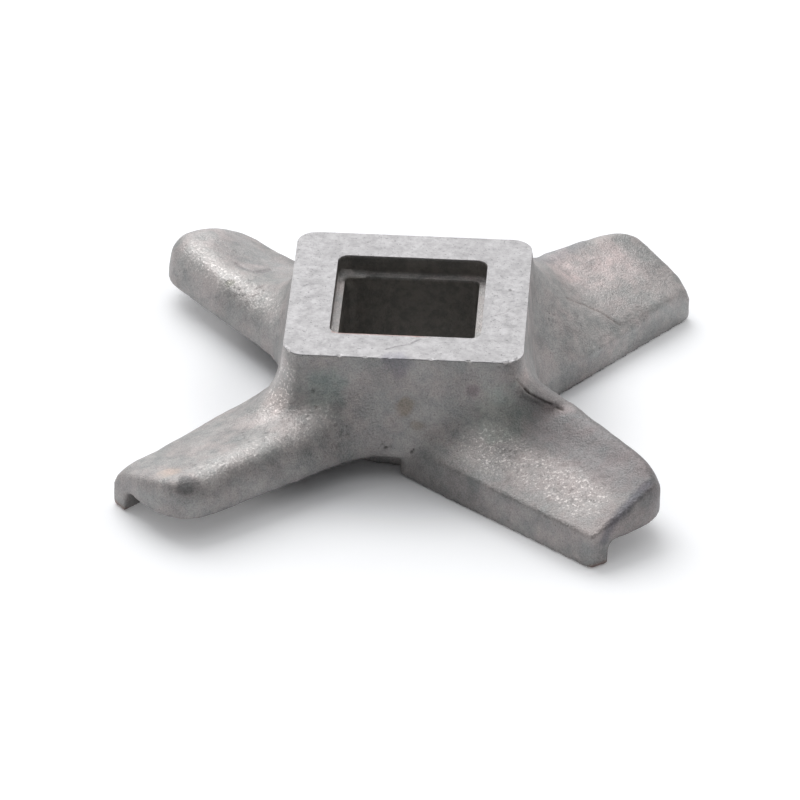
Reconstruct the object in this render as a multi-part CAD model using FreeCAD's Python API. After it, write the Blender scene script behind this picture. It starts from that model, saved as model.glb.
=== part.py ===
import FreeCAD, Part
import math
import os

# Four-bladed knife of a household meat grinder, cast as one piece.
# The origin is the middle of the drive hole on the plane in which the blades cut. +Z points
# from that plane to the ground top of the hub, and the hub's sides are square to X and Y.
# All sizes are in millimetres and all angles in degrees.

# Hub
hub_height = 10.8
hub_side = 19.2
hub_corner = 1.7
hub_draft = 6.5
boss_radius = 8.6

# Drive hole: a square hole with a wider square rim sunk into the top
hole_side = 11.0
hole_corner = 0.6
rim_side = 12.2
rim_corner = 0.9
rim_depth = 1.6

# Blades, seen from above. Each starts in the middle of a hub side and leans away from it.
blade_count = 4
blade_sweep = 38.6
tip_radius = 27.6
tip_corner = 3.5
cutting_offset = 7.85
trailing_offset = 6.2
trailing_taper = 11.0
root_blend = 6.0

# Blades, seen along their length
cutting_height = 3.0
land_width = 1.7
land_root = 0.8
relief = 1.9
crown_slope = 0.37
crown_radius = 80.0
trailing_height = 3.6
trailing_roll = 1.5
roll_power = 2.8
toe_share = 0.75
end_shoulder = 3.2
end_lean = 14.0

# Concave sweep from the hub's sides down into the blades. It is tighter on the trailing side
# and fades out towards the cutting face.
sweep_start = 6.3
sweep_reach = 6.6
sweep_power = 2.3
side_tightness = 2.2
sweep_fade = 8.0
fade_power = 1.6

# Number of steps in the grid of points that a blade's top surface runs through, and how far
# the grid, the sweep and the roll carry on past the lines where they end
steps_along = 38
steps_across = 22
crowding = 1.7
grid_past = 0.7
sweep_past = 0.8
roll_past = 0.5

# How far a shape that trims or joins another reaches past it
spare = 1.0

hub_half = hub_side / 2
hub_spread = (hub_height - relief) * math.tan(math.radians(hub_draft))
foot_half = hub_half + hub_spread
lean_cos = math.cos(math.radians(blade_sweep))
lean_sin = math.sin(math.radians(blade_sweep))
taper_tan = math.tan(math.radians(trailing_taper))
taper_cos = math.cos(math.radians(trailing_taper))
taper_sin = math.sin(math.radians(trailing_taper))
sweep_climb = hub_height - sweep_start
tall = hub_height + spare


def to_hub(u, v):
    """Turn a place in the first blade's frame, u along it and v across it, into the hub's frame."""
    return u * lean_cos + v * lean_sin, v * lean_cos - u * lean_sin


def to_blade(x, y):
    """Turn a place in the hub's frame into the first blade's frame."""
    return x * lean_cos - y * lean_sin, x * lean_sin + y * lean_cos


def trailing_at_side(x, out):
    """Place where the trailing line, moved out by a distance, crosses a line along a hub side."""
    offset = trailing_offset + out / taper_cos
    u = (x - offset * lean_sin) / (lean_cos - taper_tan * lean_sin)
    return u, offset - u * taper_tan


def trailing_at_radius(radius, out):
    """Place where the trailing line, moved out by a distance, crosses a circle about the axis."""
    offset = trailing_offset + out / taper_cos
    along = math.sqrt(radius ** 2 - (offset * taper_cos) ** 2)
    return offset * taper_cos * taper_sin + along * taper_cos, offset * taper_cos ** 2 - along * taper_sin


root_centre = trailing_at_side(foot_half + root_blend, root_blend)
toe_centre = trailing_at_radius(tip_radius - tip_corner, -tip_corner)


def point(place, z=0.0):
    return FreeCAD.Vector(place[0], place[1], z)


def arc_about(centre, radius, start, end):
    """Arc about a centre between two directions from it, the short way round."""
    middle = (start[0] + end[0], start[1] + end[1])
    stops = []
    for way in (start, middle, end):
        size = math.hypot(way[0], way[1])
        stops.append(point((centre[0] + radius * way[0] / size, centre[1] + radius * way[1] / size)))
    return Part.Arc(stops[0], stops[1], stops[2]).toShape()


def square_wire(side, corner, z):
    """Square outline with round corners, centred on the axis at height z."""
    half = side / 2
    inner = half - corner
    diagonal = inner + corner * math.sqrt(0.5)
    line = Part.makeLine(FreeCAD.Vector(half, -inner, z), FreeCAD.Vector(half, inner, z))
    middle = FreeCAD.Vector(diagonal, diagonal, z)
    end = FreeCAD.Vector(inner, half, z)
    corner_arc = Part.Arc(line.Vertexes[1].Point, middle, end).toShape()
    edges = []
    for quarter in range(4):
        for edge in (line, corner_arc):
            turned = edge.copy()
            turned.rotate(FreeCAD.Vector(0, 0, 0), FreeCAD.Vector(0, 0, 1), 90 * quarter)
            edges.append(turned)
    return Part.Wire(edges)


def square_bar(side, corner, z_low, z_high):
    """Straight square bar with round corners between two heights."""
    face = Part.Face(square_wire(side, corner, z_low))
    return face.extrude(FreeCAD.Vector(0, 0, z_high - z_low))


def make_hub():
    """Drafted square hub above the relieved underside, on a round boss down to the cutting plane."""
    foot = square_wire(2 * foot_half, hub_corner, relief)
    top = square_wire(hub_side, hub_corner, hub_height)
    block = Part.makeLoft([foot, top], True, True)
    boss = Part.makeCylinder(boss_radius, relief + spare)
    return block.fuse(boss)


def make_drive_hole():
    """Square hole right through the hub, and the wider rim in its top."""
    through = square_bar(hole_side, hole_corner, -spare, tall)
    rim = square_bar(rim_side, rim_corner, hub_height - rim_depth, tall)
    return through.fuse(rim)


def make_blade_plan():
    """Prism over the blade's outline, in the blade's frame, from the hub's centre to the turned end."""
    centre = point((0, 0))
    start = point(to_blade(0, -cutting_offset / lean_cos))
    heel = (math.sqrt(tip_radius ** 2 - cutting_offset ** 2), -cutting_offset)
    side = point(to_blade(foot_half, 0))
    side_way = to_blade(-1, 0)
    trailing_way = (taper_sin, taper_cos)
    back_way = (-taper_sin, -taper_cos)
    end_arc = arc_about((0, 0), tip_radius, heel, toe_centre)
    toe_arc = arc_about(toe_centre, tip_corner, toe_centre, trailing_way)
    root_arc = arc_about(root_centre, root_blend, back_way, side_way)
    edges = [
        Part.makeLine(centre, start),
        Part.makeLine(start, point(heel)),
        end_arc,
        toe_arc,
        Part.makeLine(toe_arc.Vertexes[-1].Point, root_arc.Vertexes[0].Point),
        root_arc,
        Part.makeLine(root_arc.Vertexes[-1].Point, side),
        Part.makeLine(side, centre),
    ]
    return Part.Face(Part.Wire(edges)).extrude(FreeCAD.Vector(0, 0, tall))


def make_blade_section():
    """Bar with the blade's section: the cutting land, its concave root and the raised underside."""
    inner = -cutting_offset + land_width
    wide = foot_half + tip_radius
    across = [
        (-cutting_offset, 0),
        (inner, 0),
        (inner, relief - land_root),
        (inner + land_root, relief),
        (wide, relief),
        (wide, hub_height),
        (-cutting_offset, hub_height),
    ]
    corners = [FreeCAD.Vector(0, v, z) for v, z in across]
    hollow = land_root * (1 - math.sqrt(0.5))
    bend = FreeCAD.Vector(0, inner + hollow, relief - hollow)
    edges = [Part.makeLine(a, b) for a, b in zip(corners, corners[1:] + corners[:1])]
    edges[2] = Part.Arc(corners[2], bend, corners[3]).toShape()
    return Part.Face(Part.Wire(edges)).extrude(FreeCAD.Vector(tip_radius + spare, 0, 0))


def hub_gap(x, y):
    """Distance from the outline of the hub's top, negative inside it. Beyond +X it counts for more."""
    inner = hub_half - hub_corner
    dx = abs(x) - inner
    dy = abs(y) - inner
    if x > inner:
        dx = dx * side_tightness
    return math.hypot(max(dx, 0), max(dy, 0)) + min(max(dx, dy), 0) - hub_corner


def trailing_line_inset(u, v):
    """Distance inside the straight trailing line."""
    return (trailing_offset - v) * taper_cos - u * taper_sin


def trailing_inset(u, v):
    """Distance inside the trailing side, with its concave blend into the hub's side."""
    du = u - root_centre[0]
    dv = v - root_centre[1]
    bearing = math.degrees(math.atan2(dv, du)) % 360
    if 180 + blade_sweep <= bearing <= 270 - trailing_taper:
        return math.hypot(du, dv) - root_blend
    return max(trailing_line_inset(u, v), foot_half - to_hub(u, v)[0])


def outline_across(u):
    """Where the trailing side runs at u: along the hub's side, round the blend or straight."""
    from_centre = root_centre[0] - u
    if from_centre > root_blend * lean_cos:
        return (foot_half - u * lean_cos) / lean_sin
    if from_centre > root_blend * taper_sin:
        return root_centre[1] - math.sqrt(root_blend ** 2 - from_centre ** 2)
    return trailing_offset - u * taper_tan


def edge_inset(u, v):
    """Distance inside the trailing side, carried round the toe so that it fades out along the end."""
    side = max(tip_corner - trailing_inset(u, v), 0)
    end = max(tip_corner - tip_radius + math.hypot(u, v), 0)
    return tip_corner - math.hypot(side, end * toe_share)


def top_height(u, v):
    """Height of the blade's top: crowned, swept up to the hub and rolled over at the trailing side."""
    rise = v + cutting_offset
    crown = cutting_height + crown_slope * rise - rise ** 2 / (2 * crown_radius)
    gap = max(hub_gap(*to_hub(u, v)), -sweep_past)
    fade = 1 - (1 - min(max(rise / sweep_fade, 0), 1)) ** fade_power
    full = crown + fade * sweep_climb * max(1 - gap / sweep_reach, 0) ** sweep_power
    low = min(full, trailing_height)
    share = max(edge_inset(u, v), -roll_past) / trailing_roll
    return low + (full - low) * (1 - max(1 - share, 0) ** roll_power)


def make_blade_space():
    """Everything below the blade's top surface. Its points crowd together towards the trailing side."""
    u_start = hub_half * lean_sin
    rows = []
    for i in range(steps_along + 1):
        u = u_start + (tip_radius + spare - u_start) * i / steps_along
        outside = min(outline_across(u), to_blade(foot_half, 0)[1]) + grid_past
        width = outside + cutting_offset + spare
        row = []
        for j in range(steps_across + 1):
            v = outside - width * (j / steps_across) ** crowding
            row.append(FreeCAD.Vector(u, v, top_height(u, v)))
        rows.append(row)
    surface = Part.BSplineSurface()
    surface.interpolate(rows)
    return surface.toShape().extrude(FreeCAD.Vector(0, 0, -2 * tall))


def make_turned_space():
    """Solid of revolution that trims the end: upright at the foot and leaning in above its shoulder."""
    above = hub_height - end_shoulder
    outline = [
        FreeCAD.Vector(0, 0, 0),
        FreeCAD.Vector(tip_radius, 0, 0),
        FreeCAD.Vector(tip_radius, 0, end_shoulder),
        FreeCAD.Vector(tip_radius - above * math.tan(math.radians(end_lean)), 0, hub_height),
        FreeCAD.Vector(0, 0, hub_height),
    ]
    face = Part.Face(Part.makePolygon(outline + outline[:1]))
    return face.revolve(FreeCAD.Vector(0, 0, 0), FreeCAD.Vector(0, 0, 1), 360)


def make_blade():
    """One blade, in its own frame, shared by its outline, its section, its turned end and its top."""
    blade = make_blade_plan().common(make_blade_section())
    return blade.common(make_turned_space()).common(make_blade_space())


def make_knife():
    blade = make_blade()
    knife = make_hub()
    for index in range(blade_count):
        placed = blade.copy()
        angle = index * 360.0 / blade_count - blade_sweep
        placed.rotate(FreeCAD.Vector(0, 0, 0), FreeCAD.Vector(0, 0, 1), angle)
        knife = knife.fuse(placed)
    knife = knife.cut(make_drive_hole()).removeSplitter()
    return knife.Solids[0] if len(knife.Solids) == 1 else knife


os.makedirs("parts", exist_ok=True)
make_knife().exportStep("parts/knife.step")
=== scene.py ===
import math

import bmesh
import bpy
import numpy as np
from mathutils import Matrix, Vector, noise as unevenness


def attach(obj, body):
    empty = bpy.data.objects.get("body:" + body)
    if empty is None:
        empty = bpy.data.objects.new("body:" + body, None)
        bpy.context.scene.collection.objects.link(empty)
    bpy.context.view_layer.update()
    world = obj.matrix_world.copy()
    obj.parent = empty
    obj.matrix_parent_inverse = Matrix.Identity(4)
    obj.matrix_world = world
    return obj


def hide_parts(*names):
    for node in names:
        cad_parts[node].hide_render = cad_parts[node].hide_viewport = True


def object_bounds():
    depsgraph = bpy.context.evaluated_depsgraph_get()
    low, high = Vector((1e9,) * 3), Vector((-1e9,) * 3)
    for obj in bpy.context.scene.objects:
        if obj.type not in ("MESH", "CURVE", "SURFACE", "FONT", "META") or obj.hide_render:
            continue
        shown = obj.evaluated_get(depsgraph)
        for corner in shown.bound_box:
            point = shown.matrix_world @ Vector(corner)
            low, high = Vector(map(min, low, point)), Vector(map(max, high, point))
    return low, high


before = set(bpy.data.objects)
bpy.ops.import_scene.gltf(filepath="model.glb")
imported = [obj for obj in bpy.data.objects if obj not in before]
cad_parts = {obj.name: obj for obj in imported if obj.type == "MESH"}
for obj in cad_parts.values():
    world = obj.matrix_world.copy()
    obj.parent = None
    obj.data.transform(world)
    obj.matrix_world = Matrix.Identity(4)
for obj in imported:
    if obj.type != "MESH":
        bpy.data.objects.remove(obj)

# Four-bladed meat grinder knife, cast in one piece. Its shape is worked out in millimetres and
# turned into metres at the end of make_knife.
MM = 0.001

cad_low, cad_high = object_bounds()

# Sizes that the knife shares with the CAD model
HUB_HALF = 9.6
HUB_TOP = 10.8
HUB_CORNER = 1.7
HUB_DRAFT = math.tan(math.radians(6.5))
HOLE_HALF = 5.5
HOLE_CORNER = 0.6
RIM_HALF = 6.1
RIM_CORNER = 0.9
RIM_FLOOR = 9.2
BOSS_TOP = 1.9
BOSS_RADIUS = 8.6
BLADE_LEAN = math.radians(38.6)
TIP_RADIUS = 27.6
CUTTING_OFFSET = 7.85
CUTTING_HEIGHT = 3.0
LAND_INNER = 6.15
CROWN_SLOPE = 0.37
CROWN_RADIUS = 80.0

# The blades, in the order in which they follow each other round the hub
BLADE_B, BLADE_C, BLADE_D, BLADE_A = 0, 1, 2, 3

# Size of the faces in the fine mesh of the knife
VOXEL = 0.225


def smoothstep(low, high, x):
    t = np.clip((x - low) / (high - low), 0.0, 1.0)
    return t * t * (3.0 - 2.0 * t)


def window(x, rise, fall):
    """Weight that grows from 0 to 1 over one range of x and falls again over another.

    Either range may be None.
    """
    weight = np.ones(len(x))
    if rise:
        weight = weight * smoothstep(*rise, x)
    if fall:
        weight = weight * (1.0 - smoothstep(*fall, x))
    return weight


def remeshed_copy(source, extras):
    """Even quad mesh over a CAD node and the closed shapes that grow out of it, in millimetres."""
    mesh = source.data.copy()
    mesh.transform(Matrix.Scale(1.0 / MM, 4))
    joined = bmesh.new()
    joined.from_mesh(mesh)
    for corners, faces in extras:
        made = [joined.verts.new(corner) for corner in corners]
        for face in faces:
            joined.faces.new([made[i] for i in face])
    joined.to_mesh(mesh)
    joined.free()
    work = bpy.data.objects.new("work", mesh)
    bpy.context.scene.collection.objects.link(work)
    remesh = work.modifiers.new("even", "REMESH")
    remesh.mode = "VOXEL"
    remesh.voxel_size = VOXEL
    remesh.use_smooth_shade = True
    graph = bpy.context.evaluated_depsgraph_get()
    result = bpy.data.meshes.new_from_object(work.evaluated_get(graph))
    bpy.data.objects.remove(work)
    return result


def read_points(mesh):
    flat = np.empty(len(mesh.vertices) * 3)
    mesh.vertices.foreach_get("co", flat)
    return flat.reshape(-1, 3)


def read_normals(mesh):
    flat = np.empty(len(mesh.vertices) * 3)
    mesh.vertex_normals.foreach_get("vector", flat)
    return flat.reshape(-1, 3)


def read_edges(mesh):
    flat = np.empty(len(mesh.edges) * 2, dtype=np.int64)
    mesh.edges.foreach_get("vertices", flat)
    return flat.reshape(-1, 2)


def uneven(points, scale):
    """Smooth random value at each point, from about -1 to 1."""
    return np.array([unevenness.noise(Vector(point) * scale) for point in points])


def strip_solid(stations):
    """Closed shape through a row of four-cornered sections."""
    corners = [corner for section in stations for corner in section]
    faces = [(3, 2, 1, 0)]
    for i in range(len(stations) - 1):
        for j in range(4):
            k = (j + 1) % 4
            faces.append((4 * i + j, 4 * i + k, 4 * i + 4 + k, 4 * i + 4 + j))
    last = 4 * (len(stations) - 1)
    faces.append((last, last + 1, last + 2, last + 3))
    return corners, faces


# Share of the way to the mean of its neighbours that a point goes in one round of relax
RELAX_STEP = 0.5


def relax(points, edges, weight, rounds):
    """Moves each point towards the mean of its neighbours, as far as its weight lets it."""
    count = len(points)
    degree = np.bincount(edges.ravel(), minlength=count)[:, None]
    weight = weight[:, None] * RELAX_STEP
    for _ in range(rounds):
        total = np.empty_like(points)
        for axis in range(3):
            along = points[:, axis]
            total[:, axis] = (np.bincount(edges[:, 0], along[edges[:, 1]], count)
                              + np.bincount(edges[:, 1], along[edges[:, 0]], count))
        points = points + weight * (total / degree - points)
    return points


def blade_axes(k):
    """Direction along blade k and direction across it, towards its trailing side."""
    angle = k * math.pi / 2 - BLADE_LEAN
    along = np.array([math.cos(angle), math.sin(angle)])
    return along, np.array([-along[1], along[0]])


def on_blade(points, k):
    """Points in the frame of blade k: along it, across it and up."""
    along, across = blade_axes(k)
    flat = points[:, :2]
    return np.column_stack([flat @ along, flat @ across, points[:, 2]])


def off_blade(places, k):
    """The reverse of on_blade."""
    places = np.asarray(places, dtype=float)
    along, across = blade_axes(k)
    flat = places[:, :1] * along + places[:, 1:2] * across
    return np.column_stack([flat, places[:, 2]])


def distance_to_path(points, path):
    """Distance from each point to an open polyline."""
    path = np.asarray(path, dtype=float)
    best = np.full(len(points), 1e9)
    for start, end in zip(path[:-1], path[1:]):
        way = end - start
        share = np.clip((points - start) @ way / (way @ way), 0.0, 1.0)
        best = np.minimum(best, np.linalg.norm(points - start - share[:, None] * way, axis=1))
    return best


def near_path(points, path, core, reach):
    """Weight that is 1 within core of a polyline and falls to 0 at reach."""
    return 1.0 - smoothstep(core, reach, distance_to_path(points, path))


# Paths on a blade, in its own frame, beside which the cast form is rounded
CREST = [(12.5, 2.6, 5.6), (16.0, 2.2, 5.7), (20.0, 1.4, 5.7), (24.0, 0.6, 5.6)]
TOE = [(24.0, 0.6, 5.4), (26.2, -0.6, 4.8), (26.9, -3.0, 4.2), (26.6, -6.0, 3.2)]
SHOULDER = [(9.0, 5.5, 5.6), (11.0, 3.6, 5.8), (13.0, 2.0, 6.2), (14.0, 0.0, 7.0)]
FLANK = [(7.6, -6.6, 3.4), (10.0, -4.6, 4.4), (12.5, -3.0, 5.0), (15.0, -1.5, 5.6)]
CUTTING_EDGE = [(8.0, -7.85, 3.6), (19.0, -7.85, 3.0), (26.3, -7.85, 2.9)]
CUTTING_CORNER = [(26.0, -7.6, 2.9), (26.3, -7.8, 1.8)]
ROOT = [(10.0, -3.0, 6.4), (12.5, 0.5, 6.4), (15.0, 1.6, 5.8)]
FLANK_BORDER = [(11.5, 1.0, 6.6), (14.0, -0.5, 5.6), (15.5, -3.0, 4.8), (16.0, -6.0, 3.8)]

# Where each blade is rounded: blade, path, core and reach of the rounding, rounds of relax
ROUNDED = [
    (BLADE_A, CREST, 1.2, 3.2, 110),
    (BLADE_A, TOE, 0.8, 2.4, 40),
    (BLADE_A, CUTTING_EDGE, 0.8, 2.2, 36),
    (BLADE_D, CREST, 1.2, 3.0, 90),
    (BLADE_D, TOE, 1.2, 3.2, 110),
    (BLADE_D, ROOT, 2.4, 4.8, 150),
    (BLADE_B, CREST, 0.6, 1.6, 6),
    (BLADE_B, TOE, 0.4, 1.2, 3),
    (BLADE_C, CREST, 0.8, 2.0, 20),
    (BLADE_C, TOE, 0.6, 1.8, 14),
    (BLADE_C, CUTTING_EDGE[:2], 1.0, 2.8, 90),
    (BLADE_C, CUTTING_EDGE[1:], 0.4, 1.4, 10),
    (BLADE_C, CUTTING_CORNER, 0.5, 1.8, 30),
    (BLADE_C, ROOT, 2.0, 4.0, 120),
    (BLADE_C, FLANK_BORDER, 2.0, 4.2, 200),
]
for blade in (BLADE_B, BLADE_C, BLADE_D, BLADE_A):
    ROUNDED.append((blade, SHOULDER, 1.8, 4.0, 120))
    ROUNDED.append((blade, FLANK, 1.6, 3.2, 60))


# Claw of metal that runs from the hub's near right corner down onto blade B: its front edge
# and the line behind it where it turns away
CLAW_FRONT = [(8.2, -9.6, 10.5), (8.9, -9.85, 9.4), (9.4, -9.85, 8.8), (9.9, -9.7, 8.2),
              (10.7, -9.35, 7.35), (11.6, -9.05, 6.7), (12.5, -8.75, 6.2), (13.3, -8.6, 5.85),
              (14.1, -8.6, 4.6)]
CLAW_BACK = [(9.5, -8.2, 10.5), (9.85, -8.0, 9.6), (10.2, -7.8, 9.05), (10.7, -7.55, 8.5),
             (11.2, -7.2, 7.9), (11.9, -6.9, 7.1), (12.7, -6.75, 6.5), (13.6, -7.1, 5.8),
             (14.3, -7.9, 4.6)]
# From the two upper lines to the two that lie within the hub and the blade
CLAW_FRONT_DOWN = np.array((-1.2, 1.6, -3.0))
CLAW_BACK_DOWN = np.array((-2.4, 0.6, -3.0))


def make_claw():
    stations = []
    for front, back in zip(CLAW_FRONT, CLAW_BACK):
        under_front = tuple(np.array(front) + CLAW_FRONT_DOWN)
        under_back = tuple(np.array(back) + CLAW_BACK_DOWN)
        stations.append((front, back, under_back, under_front))
    return strip_solid(stations)


def crown_height(across):
    """Height of a blade's top before it sweeps up to the hub."""
    rise = across + CUTTING_OFFSET
    return CUTTING_HEIGHT + CROWN_SLOPE * rise - rise ** 2 / (2 * CROWN_RADIUS)


def square_gap(plan, half, corner):
    """Distance outside a square outline with round corners, and the direction straight out of it."""
    offset = np.abs(plan) - np.reshape(half - corner, (-1, 1))
    outer = np.maximum(offset, 0.0)
    size = np.hypot(outer[:, 0], outer[:, 1])
    gap = size + np.minimum(offset.max(axis=1), 0.0) - corner
    straight = np.eye(2)[np.argmax(offset, axis=1)]
    way = np.where((size > 1e-9)[:, None], outer / np.maximum(size, 1e-9)[:, None], straight)
    return gap, way * np.sign(plan)


def hub_distance(points):
    """Distance outside the hub's top outline, seen from above."""
    return square_gap(points[:, :2], HUB_HALF, HUB_CORNER)[0]


def rim_distance(points):
    """Distance outwards from the wall of the rim."""
    return square_gap(points[:, :2], RIM_HALF, RIM_CORNER)[0]


def hole_distance(points):
    """Distance outwards from the wall of the drive hole."""
    return square_gap(points[:, :2], HOLE_HALF, HOLE_CORNER)[0]


# The full slope on blade C: the part of the blade that it covers, along and across, the step of
# its grid, its foot and highest place, how deep into the hub it goes, how high it climbs, how far
# out from the hub it starts and how far across the blade it takes to be full
FLANK_ALONG = (6.0, 17.0)
FLANK_ACROSS = (-CUTTING_OFFSET + 0.02, 3.5)
FLANK_STEP = 0.35
FLANK_FOOT = 2.6
FLANK_TOP = 9.4
FLANK_INTO_HUB = 2.0
FLANK_CLIMB = 5.0
FLANK_REACH = 7.5
FLANK_WIDTH = 8.0


def flank_height(across, gap):
    """Height of the full slope at one place, gap away from the hub."""
    fade = 1.0 - (1.0 - min((across + CUTTING_OFFSET) / FLANK_WIDTH, 1.0)) ** 3.5
    climb = FLANK_CLIMB * fade * max(1.0 - gap / FLANK_REACH, 0.0) ** 2.2
    return min(crown_height(across) - 0.05 + climb, FLANK_TOP)


def make_flank():
    """The full slope that blade C has in the corner between its cutting face and the hub."""
    corners = []
    number = {}
    for i, along in enumerate(np.arange(*FLANK_ALONG, FLANK_STEP)):
        for j, across in enumerate(np.arange(*FLANK_ACROSS, FLANK_STEP)):
            place = off_blade([(along, across, 0.0)], BLADE_C)
            if np.abs(place[0, :2]).max() < HUB_HALF - FLANK_INTO_HUB:
                continue
            gap = max(float(hub_distance(place)[0]), 0.0)
            number[i, j] = len(corners)
            corners.append((place[0, 0], place[0, 1], FLANK_FOOT))
            corners.append((place[0, 0], place[0, 1], flank_height(across, gap)))
    faces = []
    walls = {}
    for i, j in number:
        ring = [(i, j), (i + 1, j), (i + 1, j + 1), (i, j + 1)]
        if not all(corner in number for corner in ring):
            continue
        foot = [number[corner] for corner in ring]
        faces.append(tuple(reversed(foot)))
        faces.append(tuple(n + 1 for n in foot))
        for a, b in zip(foot, foot[1:] + foot[:1]):
            if (b, a) in walls:
                del walls[b, a]
            else:
                walls[a, b] = True
    faces.extend((a, b, b + 1, a + 1) for a, b in walls)
    return corners, faces


# Share of the rounding that the claw's front edge is spared, because it is crisp
CLAW_SPARED = 0.97


def soften(points, edges):
    """Rounds the crests, the toes and the places where the blades run into the hub."""
    claw_edge = near_path(points, CLAW_FRONT, 0.7, 1.5)
    for k, path, core, reach, rounds in ROUNDED:
        weight = near_path(points, off_blade(path, k), core, reach) * (1.0 - CLAW_SPARED * claw_edge)
        weight *= smoothstep(0.2, 1.2, HUB_TOP - points[:, 2])
        weight *= smoothstep(1.9, 2.6, points[:, 2])
        points = relax(points, edges, weight, rounds)
    return points


# The trailing sides of blades A and D: how far from the hub they start to rise to it, and over
# what width of the blade the slope is worked in
SHOULDERS = ((BLADE_A, 5.2, (0.4, 1.6)), (BLADE_D, 3.4, (-6.0, -3.0)))
# The slope stays under the crown and under a line that falls towards the trailing side, and
# climbs by so much at the hub
SHOULDER_HEIGHT = 5.85
SHOULDER_FALL = 0.62
SHOULDER_FALL_FROM = 0.9
SHOULDER_SPARE = 0.25
SHOULDER_CLIMB = 4.4

# The swelling at D's end: its middle along and across the blade, reach and height
SWELLING = (24.6, -3.0)
SWELLING_REACH = 5.5
SWELLING_HEIGHT = 0.9


def ease_shoulders(points):
    """Slopes the trailing sides of blades A and D near the hub, and swells D's end."""
    points = points.copy()
    gap = np.maximum(hub_distance(points), 0.0)
    for k, reach, worked_in in SHOULDERS:
        along, across, height = on_blade(points, k).T
        climb = SHOULDER_CLIMB * np.maximum(1.0 - gap / reach, 0.0) ** 2.3
        falling = SHOULDER_HEIGHT - SHOULDER_FALL * (across - SHOULDER_FALL_FROM)
        limit = np.minimum(crown_height(across), falling) + SHOULDER_SPARE + climb
        weight = window(along, (8.0, 10.5), (15.5, 21.0)) * smoothstep(*worked_in, across)
        weight *= smoothstep(2.2, 3.4, height) * smoothstep(0.2, 1.0, gap)
        points[:, 2] -= np.maximum(height - limit, 0.0) * weight
    along, across, height = on_blade(points, BLADE_D).T
    away = np.hypot(along - SWELLING[0], (across - SWELLING[1]) * 0.8)
    swelling = SWELLING_HEIGHT * (1.0 - smoothstep(0.0, SWELLING_REACH, away))
    points[:, 2] += swelling * smoothstep(2.4, 4.4, height)
    return points


# Lifts that bring the blades' upper outlines to where the photo has them: blade, lift, and the
# ranges along it, across it and up over which the lift comes in and goes again
LIFTS = [
    (BLADE_B, 0.36, ((11.0, 13.0), (24.6, 26.8)), ((-1.5, 1.2), None), ((2.6, 4.4), None)),
    (BLADE_C, 0.20, ((8.0, 11.0), None), ((-4.0, 0.0), None), ((2.6, 4.0), None)),
    (BLADE_D, 0.24, ((23.6, 25.8), None), (None, (-6.0, -2.0)), ((1.8, 2.9), None)),
    (BLADE_D, -0.26, ((16.0, 19.5), (21.6, 24.8)), (None, (-6.0, -2.0)), ((1.8, 2.9), None)),
    (BLADE_A, -0.30, ((7.5, 9.0), (11.5, 15.0)), (None, (-6.5, -3.0)), ((1.6, 2.8), (5.5, 7.5))),
    (BLADE_A, -0.13, ((11.5, 15.0), (21.5, 24.5)), (None, (-6.5, -3.0)),
     ((1.6, 2.8), (5.5, 7.5))),
]
# How far blade C stands further back than the CAD has it
C_FURTHER_BACK = 0.3


def bend_blades(points):
    """Bends the blades' upper outlines, and moves C back."""
    bent = points.copy()
    for k, lift, ends, sides, levels in LIFTS:
        along, across, height = on_blade(points, k).T
        bent[:, 2] += lift * window(along, *ends) * window(across, *sides) * window(height, *levels)
    along, across, height = on_blade(points, BLADE_C).T
    inside = smoothstep(-9.0, -8.0, across) * smoothstep(8.0, 11.0, along)
    bent[:, 1] += C_FURTHER_BACK * inside * smoothstep(0.3, 3.5, hub_distance(points))
    return bent


# How near a point must be to a machined face to be put exactly on it
SNAP = 0.14
# The remesh cuts across the inner corner at the foot of the rim: within this distance of the
# corner, points go to the nearer of its two faces
RIM_FOOT = 0.8


def snap_machined(points):
    """Puts points near the machined faces exactly on them, and tells which points those are."""
    points = points.copy()
    snapped = np.zeros(len(points), dtype=int)
    height = points[:, 2]
    for half, corner, low, high in ((RIM_HALF, RIM_CORNER, RIM_FLOOR, HUB_TOP),
                                    (HOLE_HALF, HOLE_CORNER, -1.0, RIM_FLOOR),
                                    (HUB_HALF, HUB_CORNER, 9.8, HUB_TOP)):
        drafted = half
        if half == HUB_HALF:
            drafted = half + (HUB_TOP - height) * HUB_DRAFT
        gap, way = square_gap(points[:, :2], drafted, corner)
        near = (np.abs(gap) < SNAP) & (height > low - SNAP) & (height < high + SNAP)
        points[near, :2] -= (gap[:, None] * way)[near]
        snapped += near
    inner = hole_distance(points)
    near = (np.abs(height - RIM_FLOOR) < SNAP) & (inner > -SNAP) & (rim_distance(points) < SNAP)
    points[near, 2] = RIM_FLOOR
    snapped += near
    rim, way = square_gap(points[:, :2], RIM_HALF, RIM_CORNER)
    rise = height - RIM_FLOOR
    corner = (np.abs(rim) < RIM_FOOT) & (rise > -SNAP) & (rise < RIM_FOOT) & (inner > -SNAP)
    to_floor = corner & (rise < -rim)
    points[to_floor, 2] = RIM_FLOOR
    to_wall = corner & ~to_floor
    points[to_wall, :2] -= (rim[:, None] * way)[to_wall]
    snapped[corner] += 1
    near = np.abs(height - HUB_TOP) < SNAP
    points[near, 2] = HUB_TOP
    snapped += near
    return points, snapped


# Rounding of the land's long edges
LAND_EDGE = 0.14


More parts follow.
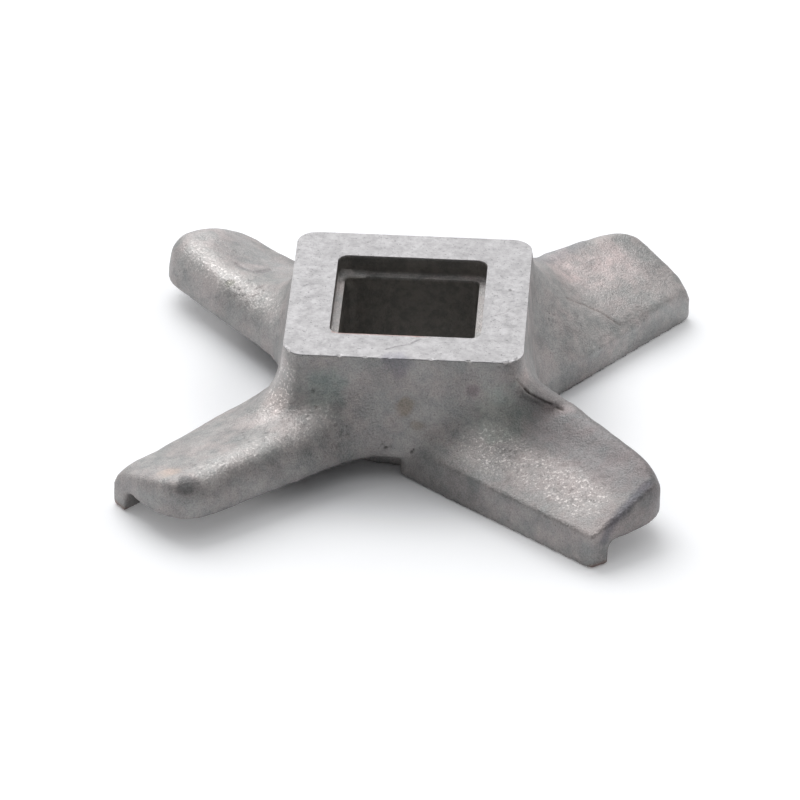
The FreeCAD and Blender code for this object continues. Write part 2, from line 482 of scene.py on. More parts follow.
def true_lands(points):
    """Puts the lands and cutting faces exactly where they are ground, with a slight rounding."""
    points = points.copy()
    middle = -(CUTTING_OFFSET + LAND_INNER) / 2
    half = (CUTTING_OFFSET - LAND_INNER) / 2
    ground = np.zeros(len(points))
    for k in (BLADE_B, BLADE_C, BLADE_D, BLADE_A):
        across = blade_axes(k)[1]
        u, v, z = on_blade(points, k).T
        side = np.sign(v - middle)
        out = np.abs(v - middle) - half + LAND_EDGE
        down = LAND_EDGE - z
        corner = (out > 0.0) & (down > 0.0)
        size = np.where(corner, np.hypot(out, down), 1.0)
        gap = np.where(corner, size, np.maximum(out, down)) - LAND_EDGE
        sideways = np.where(corner, out / size, (out >= down) * 1.0) * side
        downwards = np.where(corner, down / size, (out < down) * 1.0)
        weight = (np.abs(gap) < 0.35) * smoothstep(10.0, 11.0, u)
        weight *= 1.0 - smoothstep(TIP_RADIUS - 0.6, TIP_RADIUS - 0.25, np.hypot(u, v))
        weight *= np.where(side < 0, 1.0 - smoothstep(2.0, 2.7, z), 1.0 - smoothstep(0.7, 1.1, z))
        points[:, :2] -= (weight * gap * sideways)[:, None] * across
        points[:, 2] += weight * gap * downwards
        ground = np.maximum(ground, weight)
    return points, ground


# Unevenness of the cast skin: height and length of its waves, and the share of it that the ground
# lands and cutting faces are spared
SKIN_WAVES = ((0.045, 2.6), (0.028, 0.9))
GROUND_SPARED = 0.85


def roughen(mesh, points, ground):
    """Gives the cast skin its slight unevenness, which the machined faces don't have."""
    rise = sum(height * uneven(points, 1.0 / length) for height, length in SKIN_WAVES)
    rise *= 1.0 - smoothstep(9.9, 10.3, points[:, 2])
    rise *= smoothstep(0.3, 1.2, hole_distance(points))
    rise *= 1.0 - GROUND_SPARED * ground
    return points + rise[:, None] * read_normals(mesh)


# Lines in the skin: where they run, how deep and how far to each side, and the colour that the
# metal in them is multiplied by. First the crack under the claw in four parts, then the lap on
# C, the fold on D, three scratches on the hub's top and the hollow along B's end. The darker
# colour in the fold on D and in the hollow along B's end is painted shade.
LINES = [
    ([(9.2, -9.58, 9.3), (9.8, -9.5, 8.4), (10.25, -9.38, 7.85)], 0.08, 0.16, (0.72, 0.70, 0.69)),
    ([(9.9, -9.48, 8.3), (10.25, -9.38, 7.85), (11.46, -8.90, 6.74), (12.05, -8.82, 6.50)],
     0.18, 0.19, (0.42, 0.40, 0.39)),
    ([(11.8, -8.84, 6.6), (12.2, -8.82, 6.42), (12.45, -8.85, 6.30)], 0.16, 0.15, (0.40, 0.38, 0.37)),
    ([(12.4, -8.84, 6.33), (12.67, -8.88, 6.20), (12.9, -8.95, 6.18)], 0.08, 0.12, (0.55, 0.52, 0.50)),
    ([(12.5, 9.41, 5.57), (14.0, 10.27, 4.45), (15.25, 10.31, 3.81), (16.27, 10.04, 3.25),
      (16.94, 9.98, 2.84)], 0.05, 0.15, (0.78, 0.75, 0.73)),
    # The fold on D: a shallow dent, darkened with painted shade
    ([(-14.9, 13.2, 5.2), (-14.3, 12.5, 5.3), (-13.35, 12.16, 5.19), (-12.62, 12.78, 4.95),
      (-12.2, 13.6, 4.6)], 0.09, 0.46, (0.86, 0.86, 0.87)),
    ([(-1.35, -8.3, 10.8), (-0.5, -7.75, 10.8), (0.5, -7.35, 10.8), (1.3, -6.5, 10.8)],
     0.03, 0.13, (0.66, 0.65, 0.66)),
    ([(-8.6, 0.9, 10.8), (-8.2, 1.3, 10.8), (-7.5, 1.4, 10.8)], 0.02, 0.12, (0.76, 0.76, 0.77)),
    ([(7.1, -2.4, 10.8), (7.9, -1.9, 10.8), (8.3, -1.2, 10.8)], 0.02, 0.11, (0.78, 0.77, 0.77)),
    # The hollow along B's end: a shallow dent with a bluish painted shade in it
    ([(20.0, -17.6, 5.0), (18.51, -19.69, 4.32), (17.55, -20.98, 3.7), (17.04, -21.67, 2.99),
      (16.75, -21.95, 2.3)], 0.05, 0.62, (0.64, 0.66, 0.72)),
]

# Pits: place, reach, depth and the same kind of colour
PITS = [
    ((-1.14, -10.63, 2.95), 0.17, 0.16, (0.35, 0.35, 0.35)),
    ((-1.42, -10.58, 3.30), 0.14, 0.10, (0.45, 0.45, 0.45)),
    ((-0.75, -10.62, 3.05), 0.13, 0.10, (0.50, 0.50, 0.50)),
    ((0.88, -10.80, 2.78), 0.16, 0.18, (0.30, 0.30, 0.30)),
    ((1.06, -10.74, 3.02), 0.14, 0.14, (0.35, 0.35, 0.35)),
    ((-7.07, -10.03, 7.76), 0.24, 0.06, (0.60, 0.60, 0.60)),
    ((-6.78, -10.68, 6.57), 0.20, 0.06, (0.55, 0.52, 0.50)),
    ((-15.41, 10.22, 5.28), 0.60, 0.03, (0.70, 0.71, 0.66)),
    ((9.15, 9.62, 10.8), 0.50, 0.35, (0.80, 0.80, 0.80)),
    ((8.17, 1.64, 10.8), 0.20, 0.06, (0.65, 0.65, 0.65)),
]

# Places where the skin is speckled with small shallow pits: place, reach and depth, and the
# colour that the metal in these pits is multiplied by
SPECK_COLOR = (0.76, 0.76, 0.76)
SPECKLED = [
    ((-14.2, 9.2, 5.3), 2.0, 0.07),
    ((-12.6, 8.6, 5.3), 1.6, 0.07),
    ((11.9, 6.0, 5.6), 1.9, 0.07),
    ((13.2, 8.4, 4.8), 1.2, 0.05),
    ((-11.5, -13.0, 5.6), 2.6, 0.05),
    ((-15.0, -17.0, 5.2), 2.4, 0.05),
    ((-8.5, -11.0, 5.8), 2.0, 0.05),
    ((-5.0, -11.5, 4.6), 1.8, 0.05),
    ((14.5, -17.0, 4.2), 3.6, 0.04),
    ((10.0, -14.0, 4.3), 3.0, 0.04),
]


# How far round the lines, the pits and the hub's near edge the mesh is made finer
FINE_REACH = 0.5


def refine(mesh):
    """Splits the faces close to the lines, the pits and the hub's near edge."""
    points = read_points(mesh)
    near = np.zeros(len(points), dtype=bool)
    for path, _, width, _ in LINES:
        near |= distance_to_path(points, path) < width + FINE_REACH
    for spot, width, _, _ in PITS:
        near |= np.linalg.norm(points - np.array(spot), axis=1) < width + FINE_REACH
    top_edge = (np.abs(hub_distance(points)) < FINE_REACH) & (points[:, 2] > HUB_TOP - FINE_REACH)
    near |= top_edge & (points[:, 1] < -HUB_HALF + HUB_CORNER + FINE_REACH)
    work = bmesh.new()
    work.from_mesh(mesh)
    chosen = [edge for edge in work.edges if all(near[end.index] for end in edge.verts)]
    bmesh.ops.subdivide_edges(work, edges=chosen, cuts=1, use_grid_fill=True)
    work.to_mesh(mesh)
    work.free()


def multiplier(weight, color):
    """What a colour is multiplied by at each point, where color is the whole effect."""
    return 1.0 + weight[:, None] * (np.array(color) - 1.0)


# How much the widths of the lines and the pits vary, as a share, and how finely
LINE_WANDER = 0.35
PIT_WANDER = 0.5
WANDER_SCALE = 2.1
SPECK_SCALE = 3.6


def marks_and_painted_shade(points):
    """How deep each point lies in a line or a pit, and the colour that it takes there.

    In the fold on D and the hollow along B's end this colour is painted shade.
    """
    depth = np.zeros(len(points))
    tint = np.ones((len(points), 3))
    wander = uneven(points, WANDER_SCALE)
    for path, deep, width, color in LINES:
        near = distance_to_path(points, path) / (width * (1.0 + LINE_WANDER * wander))
        weight = 1.0 - smoothstep(0.15, 1.0, near)
        depth = np.maximum(depth, deep * weight)
        tint *= multiplier(weight, color)
    for spot, reach, deep, color in PITS:
        away = np.linalg.norm(points - np.array(spot), axis=1)
        near = away / (reach * (1.0 + PIT_WANDER * wander))
        weight = 1.0 - smoothstep(0.25, 1.0, near)
        depth = np.maximum(depth, deep * weight)
        tint *= multiplier(weight, color)
    specks = smoothstep(0.22, 0.42, uneven(points, SPECK_SCALE))
    for spot, reach, deep in SPECKLED:
        near = np.linalg.norm(points - np.array(spot), axis=1) / reach
        weight = (1.0 - smoothstep(0.5, 1.0, near)) * specks
        depth = np.maximum(depth, deep * weight)
        tint *= multiplier(weight, SPECK_COLOR)
    return depth, tint


# Chips in the hub's top edge along the near side: depth, width, and scale of their pattern
CHIP_DEPTH = 0.18
CHIP_WIDTH = 0.26
CHIP_SCALE = 1.7


def chip_hub(points):
    """Lets the hub's top edge down here and there along the near side, where it is chipped."""
    points = points.copy()
    edge = np.abs(hub_distance(points))
    along_edge = points * (1.0, 1.0, 0.0) + (0.0, 0.0, 3.0 / CHIP_SCALE)
    rough = uneven(along_edge, CHIP_SCALE)
    chip = CHIP_DEPTH * smoothstep(0.12, 0.5, rough) * (1.0 - smoothstep(0.0, CHIP_WIDTH, edge))
    chip *= (points[:, 2] > HUB_TOP - 0.3) * (1.0 - smoothstep(-9.0, -7.5, points[:, 1]))
    points[:, 2] -= chip
    return points


def mark_sharp(mesh, snapped):
    """Keeps the edges between machined faces crisp and shades everything else smoothly."""
    mesh.polygons.foreach_set("use_smooth", [True] * len(mesh.polygons))
    mesh.set_sharp_from_angle(angle=math.radians(40.0))
    layer = mesh.attributes["sharp_edge"]
    sharp = np.empty(len(mesh.edges), dtype=bool)
    layer.data.foreach_get("value", sharp)
    ends = read_edges(mesh)
    sharp &= (snapped[ends[:, 0]] > 0) & (snapped[ends[:, 1]] > 0)
    layer.data.foreach_set("value", sharp)


def make_knife():
    mesh = remeshed_copy(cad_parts["knife"], [make_claw(), make_flank()])
    points = read_points(mesh)
    edges = read_edges(mesh)
    machined = np.maximum(smoothstep(9.6, 10.0, points[:, 2]),
                          1.0 - smoothstep(0.6, 1.4, hole_distance(points)))
    points = relax(points, edges, 1.0 - machined, 2)
    outer = smoothstep(0.0, 0.6, np.abs(points[:, :2]).max(axis=1) - HUB_HALF)
    points = relax(points, edges, outer * (1.0 - smoothstep(1.6, 2.4, points[:, 2])), 6)
    points = ease_shoulders(points)
    points = soften(points, edges)
    mesh.vertices.foreach_set("co", points.ravel())
    refine(mesh)
    points, snapped = snap_machined(read_points(mesh))
    points, ground = true_lands(points)
    points = bend_blades(points)
    mesh.vertices.foreach_set("co", points.ravel())
    mesh.update()
    depth, marks = marks_and_painted_shade(points)
    points = roughen(mesh, points, ground) - depth[:, None] * read_normals(mesh)
    points = chip_hub(points)
    points = np.clip(points, np.array(cad_low) / MM, np.array(cad_high) / MM)
    mesh.vertices.foreach_set("co", (points * MM).ravel())
    mesh.update()
    mark_sharp(mesh, snapped)
    paint(mesh, points, read_normals(mesh), marks)
    knife = bpy.data.objects.new("cast_knife", mesh)
    bpy.context.scene.collection.objects.link(knife)
    return knife


def add_node(tree, kind, inputs=None, **settings):
    node = tree.nodes.new(kind)
    for name, value in settings.items():
        setattr(node, name, value)
    for name, value in (inputs or {}).items():
        if isinstance(value, bpy.types.NodeSocket):
            tree.links.new(value, node.inputs[name])
        else:
            node.inputs[name].default_value = value
    return node


def calc(tree, operation, a, b=0.0, clamp=False):
    node = add_node(tree, "ShaderNodeMath", {0: a, 1: b}, operation=operation, use_clamp=clamp)
    return node.outputs[0]


def remap(tree, value, from_low, from_high, to_low=0.0, to_high=1.0):
    """Smooth step from one range of values to another."""
    inputs = {"Value": value, "From Min": from_low, "From Max": from_high,
              "To Min": to_low, "To Max": to_high}
    return add_node(tree, "ShaderNodeMapRange", inputs, interpolation_type="SMOOTHSTEP").outputs[0]


def blend_color(tree, factor, a, b, how="MIX"):
    node = add_node(tree, "ShaderNodeMix", data_type="RGBA", blend_type=how)
    for socket, value in ((node.inputs[0], factor), (node.inputs[6], a), (node.inputs[7], b)):
        if isinstance(value, bpy.types.NodeSocket):
            tree.links.new(value, socket)
        elif isinstance(value, tuple):
            socket.default_value = (*value, 1.0)
        else:
            socket.default_value = value
    return node.outputs[2]


def noise(tree, place, scale, detail, roughness, distortion=0.0):
    inputs = {"Vector": place, "Scale": scale, "Detail": detail, "Roughness": roughness,
              "Distortion": distortion}
    return add_node(tree, "ShaderNodeTexNoise", inputs).outputs["Fac"]


def grey(tree, value):
    return add_node(tree, "ShaderNodeCombineXYZ", {0: value, 1: value, 2: value}).outputs[0]


def times(tree, color, factor):
    """Colour multiplied by another one."""
    return blend_color(tree, 1.0, color, factor, "MULTIPLY")


CAST_DARK = (0.255, 0.257, 0.256)
CAST_LIGHT = (0.436, 0.413, 0.408)
CAST_COOL = (0.985, 1.0, 0.997)
CAST_WARM = (1.025, 0.99, 0.985)
RUBBED_SHEEN_COLOR = (0.86, 0.82, 0.80)
GROUND_METAL = (0.368, 0.361, 0.368)
HOLE_DARK = (0.165, 0.158, 0.148)
HOLE_LIGHT = (0.25, 0.235, 0.215)
METALLIC = 0.7
ROUGHNESS = (0.44, 0.60)
GROUND_SMOOTHER = 0.06
RUBBED_AND_SHEEN_SMOOTHER = 0.08
BUMP_HEIGHT = 0.00007

# Patterns of the skin, from the widest to the finest, then those of the hue, the painted
# glints, the wear and the marks on the hub's top: scale per millimetre, detail and roughness,
# and a distortion
CLOUD = (0.30, 2.0, 0.5)
PATCH = (0.9, 6.0, 0.70)
GRAIN = (4.6, 2.0, 0.6)
FINE_GRAIN = (8.5, 2.0, 0.6)
HUES = (0.4, 3.0, 0.6)
GLINT_FLECKS = (4.3, 1.5, 0.5)
WEAR = (1.7, 6.0, 0.75)
TOP_MARKS = (1.3, 4.0, 0.7, 0.6)
# The marks on the hub's top run along X, because their pattern is pressed together along Y
TOP_MARKS_STRETCH = (1.0, 3.2, 1.0)


def make_cast_metal():
    """Shot-blasted cast skin with a ground hub top. Lengths in its textures are millimetres."""
    material = bpy.data.materials.new("cast_metal")
    material.use_nodes = True
    tree = material.node_tree
    shader = tree.nodes["Principled BSDF"]
    spot = add_node(tree, "ShaderNodeTexCoord").outputs["Object"]
    place = add_node(tree, "ShaderNodeVectorMath", {0: spot, 3: 1.0 / MM}, operation="SCALE")
    place = place.outputs[0]
    height = add_node(tree, "ShaderNodeSeparateXYZ", {0: place}).outputs[2]
    ground = remap(tree, height, HUB_TOP - 0.12, HUB_TOP - 0.04)
    tint = add_node(tree, "ShaderNodeAttribute", attribute_name="tint").outputs["Color"]
    masks = add_node(tree, "ShaderNodeAttribute", attribute_name="masks")
    split = add_node(tree, "ShaderNodeSeparateColor", {0: masks.outputs["Color"]})
    bright, hole = split.outputs[0], split.outputs[1]

    cloud = noise(tree, place, *CLOUD)
    patch = noise(tree, place, *PATCH)
    grain = noise(tree, place, *GRAIN)
    fine = noise(tree, place, *FINE_GRAIN)

    tone = calc(tree, "ADD", calc(tree, "MULTIPLY", cloud, 0.3), calc(tree, "MULTIPLY", patch, 0.7))
    cast = blend_color(tree, remap(tree, tone, 0.33, 0.67), CAST_DARK, CAST_LIGHT)
    warmth = remap(tree, noise(tree, place, *HUES), 0.38, 0.62)
    cast = times(tree, cast, blend_color(tree, warmth, CAST_COOL, CAST_WARM))
    cast = times(tree, cast, grey(tree, remap(tree, fine, 0.32, 0.68, 0.84, 1.16)))
    cast = times(tree, cast, grey(tree, remap(tree, grain, 0.27, 0.35, 0.62, 1.0)))
    # Where the skin is rubbed it is blended towards a lighter colour, most where the flecks are:
    # partly rubbed metal, partly painted sheen and painted glints
    glint_flecks = remap(tree, noise(tree, place, *GLINT_FLECKS), 0.55, 0.68)
    lift = calc(tree, "ADD", 0.30, calc(tree, "MULTIPLY", glint_flecks, 0.75))
    lift = calc(tree, "MULTIPLY", bright, lift, clamp=True)
    cast = blend_color(tree, lift, cast, RUBBED_SHEEN_COLOR)

    worn = remap(tree, noise(tree, place, *WEAR), 0.32, 0.68, 0.83, 1.12)
    top = times(tree, GROUND_METAL, grey(tree, worn))
    stretched = add_node(tree, "ShaderNodeVectorMath", {0: place, 1: TOP_MARKS_STRETCH},
                         operation="MULTIPLY").outputs[0]
    marks = remap(tree, noise(tree, stretched, *TOP_MARKS), 0.325, 0.385, 0.72, 1.0)
    top = times(tree, top, grey(tree, marks))
    top = times(tree, top, grey(tree, remap(tree, grain, 0.31, 0.37, 0.62, 1.0)))

    color = times(tree, blend_color(tree, ground, cast, top), tint)
    # Painted shade: the drive hole and the rim's walls are darkened to this mottled colour
    hole_shade_color = blend_color(tree, remap(tree, patch, 0.38, 0.62), HOLE_DARK, HOLE_LIGHT)
    tree.links.new(blend_color(tree, hole, color, hole_shade_color), shader.inputs["Base Color"])
    shader.inputs["Metallic"].default_value = METALLIC

    rough = remap(tree, patch, 0.35, 0.65, *ROUGHNESS)
    rough = calc(tree, "SUBTRACT", rough, calc(tree, "MULTIPLY", ground, GROUND_SMOOTHER))
    rough = calc(tree, "SUBTRACT", rough, calc(tree, "MULTIPLY", lift, RUBBED_AND_SHEEN_SMOOTHER))
    tree.links.new(rough, shader.inputs["Roughness"])

    relief = calc(tree, "ADD", calc(tree, "MULTIPLY", grain, 0.8), calc(tree, "MULTIPLY", fine, 0.5))
    relief = calc(tree, "ADD", relief, calc(tree, "MULTIPLY", patch, 0.7))
    rise = calc(tree, "SUBTRACT", 1.0, calc(tree, "MULTIPLY", ground, 0.8))
    rise = calc(tree, "MULTIPLY", relief, rise)
    bump = add_node(tree, "ShaderNodeBump",
                    {"Height": rise, "Strength": 1.0, "Distance": BUMP_HEIGHT})
    tree.links.new(bump.outputs[0], shader.inputs["Normal"])
    return material


# Stains and lighter patches on the skin: place, reach and colour that it is multiplied by. The
# first is a painted highlight where the hub's near left corner runs down into blade A.
STAINS_AND_HIGHLIGHT = [
    # Painted highlight where the hub's near left corner runs down into blade A
    ((-10.0, -9.8, 6.4), 1.3, (1.26, 1.22, 1.21)),
    ((5.7, -9.9, 8.1), 0.8, (0.72, 0.68, 0.71)),
    ((0.3, -10.1, 6.6), 1.1, (0.80, 0.74, 0.66)),
    ((1.3, -10.4, 5.0), 0.8, (0.84, 0.80, 0.74)),
    ((-0.4, -9.7, 10.3), 1.5, (0.74, 0.74, 0.79)),
    ((-6.2, -10.2, 8.0), 2.4, (0.84, 0.93, 0.91)),
    ((8.2, -10.4, 6.4), 3.2, (0.99, 1.07, 1.04)),
    ((-16.3, -20.4, 4.9), 1.3, (0.52, 0.54, 0.55)),
    ((-17.9, -18.5, 4.8), 1.2, (1.22, 1.12, 1.04)),
]


# Wider shades of tone on the skin, each along a path in a blade's frame: blade, path, core,
# reach and the same kind of colour. Most of them are painted light and painted shade; the
# comment above each of these says which.
PAINTED_LIGHT_AND_TONES = [
    # Painted shade that darkens the crest of B's top
    (BLADE_B, [(15.0, 1.2, 5.8), (20.0, 0.6, 5.6), (25.5, 0.4, 5.2)], 2.4, 4.6, (0.76, 0.765, 0.78)),
    # Painted shade low on B's cutting face near the hub, facing blade A
    (BLADE_B, [(9.0, -7.85, 1.5), (13.0, -7.85, 1.5)], 1.2, 2.8, (0.78, 0.79, 0.79)),
    (BLADE_B, [(26.4, -7.6, 0.0), (26.8, -6.4, 0.0)], 0.15, 0.6, (0.80, 0.62, 0.56)),
    (BLADE_A, [(26.4, -7.6, 0.0), (26.8, -6.4, 0.0)], 0.15, 0.7, (0.80, 0.62, 0.56)),
    # Painted highlight on C's top
    (BLADE_C, [(19.0, -1.5, 5.2), (23.5, -2.5, 5.0)], 0.8, 3.2, (1.42, 1.33, 1.33)),
    # Painted light on the low part of C's cutting face
    (BLADE_C, [(16.0, -7.85, 1.5), (25.5, -7.85, 1.5)], 1.6, 3.0, (1.14, 1.15, 1.15)),
    # Painted shade low on A's trailing side, near the floor
    (BLADE_A, [(13.0, 4.0, 1.0), (18.0, 3.0, 1.0), (23.0, 2.0, 1.0)], 0.6, 1.8, (0.84, 0.86, 0.89)),
    # Painted shade over B's top, with a slight pinkish hue of its own
    (BLADE_B, [(18.0, -3.0, 4.6), (25.0, -3.0, 4.6)], 3.4, 6.2, (0.79, 0.77, 0.77)),
    # Lighter, pinkish claw face: partly its own hue, partly painted light
    (BLADE_B, [(13.3, -0.64, 9.0), (14.3, 0.53, 7.0), (15.6, 1.31, 6.4)], 0.5, 1.2, (1.2, 1.15, 1.14)),
    # Painted light on D's top
    (BLADE_D, [(20.0, -4.0, 5.0), (25.0, -4.0, 5.0)], 2.0, 4.2, (1.12, 1.12, 1.13)),
    # Painted light on C's top beside its cutting face
    (BLADE_C, [(12.5, -5.0, 3.4), (18.0, -6.0, 2.6)], 2.0, 4.0, (1.12, 1.11, 1.11)),
    (BLADE_C, [(16.0, 1.5, 5.8), (22.0, 1.5, 5.8)], 0.6, 1.8, (0.92, 0.92, 0.95)),
]


# Bright rubbed places on the blades, partly rubbed metal and partly painted sheen: strength,
# blade, path in its frame, core and reach
RUBBED_AND_SHEEN = [
    (0.40, BLADE_A, [(12.5, 2.1, 5.8), (16.0, 1.6, 5.9), (20.0, 0.8, 5.9), (24.0, 0.0, 5.6)],
     0.4, 2.1),
    (0.56, BLADE_D, CREST, 0.4, 2.3),
    (0.66, BLADE_B, [(12.8, -5.4, 4.6), (15.5, -5.0, 4.3), (19.5, -4.8, 4.2), (23.5, -5.2, 4.0)],
     0.9, 2.7),
]
# Bright places where the hub's near left corner runs down into blade A, on what faces left:
# a painted highlight on rubbed metal. Strength, path, core and reach
CORNER_RUBBED_AND_SHEEN = [
    (0.85, [(-9.7, -9.0, 8.4), (-10.1, -9.7, 6.3), (-9.8, -11.0, 5.8)], 0.9, 2.4),
    (0.28, [(-9.3, -9.3, 10.6), (-9.7, -9.4, 8.0)], 0.8, 1.8),
]
# The same, whichever way the skin faces
SPOT_RUBBED_AND_SHEEN = (0.5, [(-7.0, -11.0, 6.2), (-6.2, -10.9, 6.2)], 0.3, 1.6)

# Share of the hole's painted shade that the rim's walls get
RIM_SHARE_OF_HOLE = 0.85
# The boss under the hub is lighter: partly the colour of ground metal, partly painted light
BOSS_COLOR_AND_LIGHT = (1.5, 1.5, 1.5)
# Painted light on the ledge at the foot of the rim
LEDGE_LIGHT = (1.25, 1.25, 1.25)
LIP_COLOR = (0.86, 0.60, 0.54)
LIP_HALF_WIDTH = 0.16


def rubbed_metal_and_sheen(points, normals):
    """How far the skin is lighter at each point, as rubbed metal with painted sheen."""
    bright = np.zeros(len(points))
    for strength, k, path, core, reach in RUBBED_AND_SHEEN:
        bright = np.maximum(bright, strength * near_path(points, off_blade(path, k), core, reach))
    bright *= smoothstep(0.0, 0.5, normals[:, 2])
    turned_left = smoothstep(0.22, 0.42, -normals[:, 0])
    for strength, path, core, reach in CORNER_RUBBED_AND_SHEEN:
        weight = turned_left * near_path(points, path, core, reach)
        bright = np.maximum(bright, strength * weight)
    strength, path, core, reach = SPOT_RUBBED_AND_SHEEN
    return np.maximum(bright, strength * near_path(points, path, core, reach))


def hole_dark(points, normals):
    """How far each point belongs to the walls of the drive hole and its rim, which get painted shade.
    """
    height = points[:, 2]
    hole = 1.0 - smoothstep(0.05, 0.3, hole_distance(points))
    hole *= 1.0 - smoothstep(9.0, 9.3, height)
    wall = (rim_distance(points) < 0.08) * (height > RIM_FLOOR - 0.1)
    wall = wall * (1.0 - smoothstep(0.3, 0.7, normals[:, 2]))
    return np.maximum(hole, RIM_SHARE_OF_HOLE * wall)


def skin_tint(points):
    """What the skin's colour is multiplied by at each point, apart from the lines and pits.

    Besides stains and tones it holds painted light and painted shade.
    """
    tint = np.ones((len(points), 3))
    height = points[:, 2]
    ragged = uneven(points, 1.1)
    for spot, reach, color in STAINS_AND_HIGHLIGHT:
        near = np.linalg.norm(points - np.array(spot), axis=1) / reach
        tint *= multiplier(1.0 - smoothstep(0.4, 1.0, near + 0.45 * ragged), color)
    for k, path, core, reach, color in PAINTED_LIGHT_AND_TONES:
        tint *= multiplier(near_path(points, off_blade(path, k), core, reach), color)
    # Painted light on the boss under the hub, on top of its ground metal's colour
    lit_boss = (height < BOSS_TOP + 0.05) & (np.hypot(points[:, 0], points[:, 1]) < BOSS_RADIUS + 0.2)
    tint *= multiplier(lit_boss, BOSS_COLOR_AND_LIGHT)
    rim = rim_distance(points)
    # Painted light on the ledge at the foot of the rim
    lit_ledge = (np.abs(height - RIM_FLOOR) < 0.05) & (rim < 0.1)
    tint *= multiplier(lit_ledge, LEDGE_LIGHT)
    near_lip = (np.abs(rim) < LIP_HALF_WIDTH) & (height > HUB_TOP - 0.3) & (points[:, 1] < -5.8)
    tint *= multiplier(near_lip * (1.0 - smoothstep(0.5, 2.5, points[:, 0])), LIP_COLOR)
    return tint


def paint(mesh, points, normals, marks):
    """Writes what the material needs to know about each place on the knife.

    In masks red is the rubbed metal and its painted sheen, green the drive hole and the rim's
    walls, darkened with painted shade, and blue is not used. tint is what the colour is
    multiplied by, painted light and shade among it.
    """
    none = np.zeros(len(points))
    full = np.ones(len(points))
    masks = np.column_stack([rubbed_metal_and_sheen(points, normals), hole_dark(points, normals), none, full])
    tint = np.column_stack([skin_tint(points) * marks, full])
    for name, values in (("masks", masks), ("tint", tint)):
        layer = mesh.attributes.new(name, "FLOAT_COLOR", "POINT")
        layer.data.foreach_set("color", values.astype(np.float32).ravel())


# The floor is a little below the knife, and gives off a little light of its own: none within
# 13.5 mm of the knife's middle, and all of it beyond 21 mm. Leaving the glow out round the knife
# paints a darker disc there, a painted shadow. Lengths are metres.
FLOOR_HALF = 2.0
FLOOR_DROP = 0.00002
FLOOR_COLOR = (0.94, 0.95, 0.97, 1.0)
FLOOR_GLOW = 0.14
FLOOR_MIDDLE = (0.0, 0.0, 0.0)
PAINTED_SHADOW_EDGE = (0.0135, 0.021)


def make_floor():
    mesh = bpy.data.meshes.new("floor")
    corners = [(-FLOOR_HALF, -FLOOR_HALF, 0), (FLOOR_HALF, -FLOOR_HALF, 0),
               (FLOOR_HALF, FLOOR_HALF, 0), (-FLOOR_HALF, FLOOR_HALF, 0)]
    mesh.from_pydata(corners, [], [(0, 1, 2, 3)])
    floor = bpy.data.objects.new("floor", mesh)
    bpy.context.scene.collection.objects.link(floor)
    floor.location.z = -FLOOR_DROP
    material = bpy.data.materials.new("floor_white")
    material.use_nodes = True
    tree = material.node_tree
    tree.nodes.clear()
    diffuse = add_node(tree, "ShaderNodeBsdfDiffuse", {"Color": FLOOR_COLOR})
    path = add_node(tree, "ShaderNodeLightPath")
    seen = calc(tree, "MAXIMUM", path.outputs["Is Glossy Ray"], path.outputs["Is Transmission Ray"])
    seen = calc(tree, "MAXIMUM", path.outputs["Is Camera Ray"], seen)
    place = add_node(tree, "ShaderNodeNewGeometry").outputs["Position"]
    away = add_node(tree, "ShaderNodeVectorMath", {0: place, 1: FLOOR_MIDDLE}, operation="DISTANCE")
    # No glow near the knife's middle: a painted shadow round the knife
    strength = calc(tree, "MULTIPLY", remap(tree, away.outputs["Value"], *PAINTED_SHADOW_EDGE), FLOOR_GLOW)
    glow = add_node(tree, "ShaderNodeEmission", {"Strength": calc(tree, "MULTIPLY", seen, strength)})
    both = add_node(tree, "ShaderNodeAddShader", {0: diffuse.outputs[0], 1: glow.outputs[0]})
    add_node(tree, "ShaderNodeOutputMaterial", {"Surface": both.outputs[0]})
    mesh.materials.append(material)


# Strength of the room's light: all round, how much it grows towards +X, +Y and +Z, and the least
ROOM_LEVEL = 0.45
ROOM_GROWTH = (-0.05, 0.54, 0.27)
ROOM_LEAST = 0.08


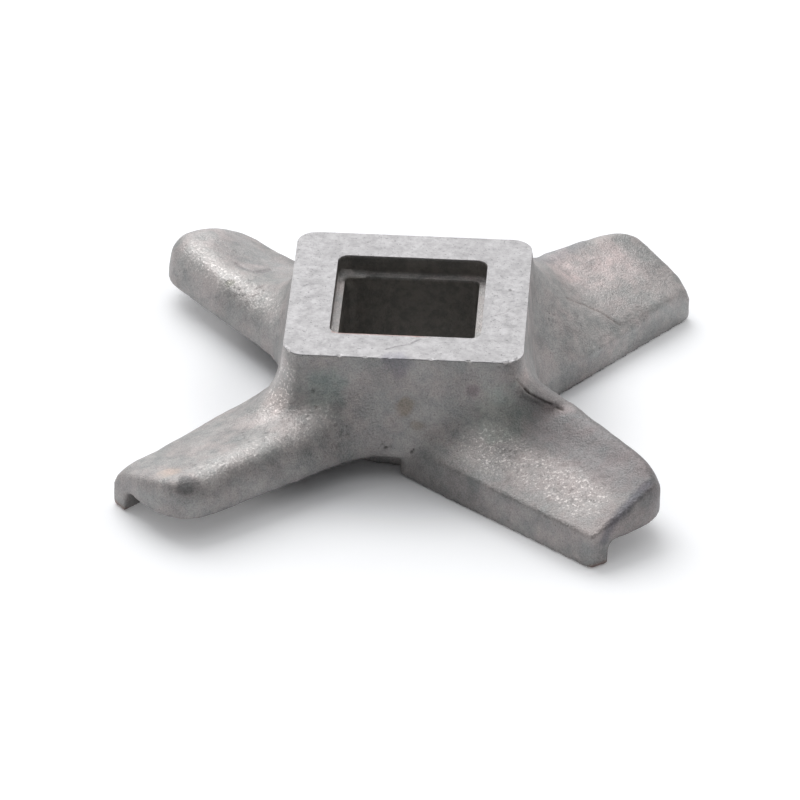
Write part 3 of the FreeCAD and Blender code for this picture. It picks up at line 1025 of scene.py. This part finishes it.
def make_world():
    """Soft room, bright overhead and behind the knife and dim on the camera's side."""
    world = bpy.data.worlds.new("studio")
    bpy.context.scene.world = world
    world.use_nodes = True
    tree = world.node_tree
    way = add_node(tree, "ShaderNodeTexCoord").outputs["Generated"]
    growth = add_node(tree, "ShaderNodeVectorMath", {0: way, 1: ROOM_GROWTH}, operation="DOT_PRODUCT")
    strength = calc(tree, "ADD", growth.outputs["Value"], ROOM_LEVEL)
    strength = calc(tree, "MAXIMUM", strength, ROOM_LEAST)
    tree.links.new(strength, tree.nodes["Background"].inputs["Strength"])
    tree.nodes["Background"].inputs["Color"].default_value = (1, 1, 1, 1)


# Square softbox behind the knife and to the left: place and side in metres, power in watts
KEY_PLACE = (-0.34, 0.64, 0.95)
KEY_SIDE = 1.0
KEY_POWER = 8.2


def make_key_light():
    light = bpy.data.lights.new("key_light", "AREA")
    light.shape = "SQUARE"
    light.size = KEY_SIDE
    light.energy = KEY_POWER
    holder = bpy.data.objects.new("key_light", light)
    bpy.context.scene.collection.objects.link(holder)
    holder.location = KEY_PLACE
    holder.rotation_mode = "QUATERNION"
    holder.rotation_quaternion = (-Vector(KEY_PLACE)).to_track_quat("-Z", "Y")


# The camera's place about its target, in degrees and metres, as worked out from the photo
CAMERA_AZIMUTH = 2.955
CAMERA_ELEVATION = 31.938
CAMERA_ROLL = -0.826
CAMERA_DISTANCE = 0.58131
CAMERA_TARGET = (-0.000277, -0.006577, 0.005)
CAMERA_LENS = 325.17


def make_camera():
    data = bpy.data.cameras.new("camera")
    data.lens = CAMERA_LENS
    data.sensor_width = 36.0
    data.clip_start = 0.05
    data.clip_end = 20.0
    camera = bpy.data.objects.new("camera", data)
    bpy.context.scene.collection.objects.link(camera)
    azimuth = math.radians(CAMERA_AZIMUTH)
    elevation = math.radians(CAMERA_ELEVATION)
    back = Vector((math.sin(azimuth) * math.cos(elevation),
                   -math.cos(azimuth) * math.cos(elevation), math.sin(elevation)))
    camera.location = Vector(CAMERA_TARGET) + back * CAMERA_DISTANCE
    upright = (-back).to_track_quat("-Z", "Y").to_matrix()
    rolled = upright @ Matrix.Rotation(math.radians(-CAMERA_ROLL), 3, "Z")
    camera.rotation_mode = "QUATERNION"
    camera.rotation_quaternion = rolled.to_quaternion()
    bpy.context.scene.camera = camera


knife = make_knife()
knife.data.materials.clear()
knife.data.materials.append(make_cast_metal())
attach(knife, "root")
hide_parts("knife")

make_floor()
make_world()
make_key_light()
make_camera()

bpy.context.scene.view_settings.view_transform = "Standard"
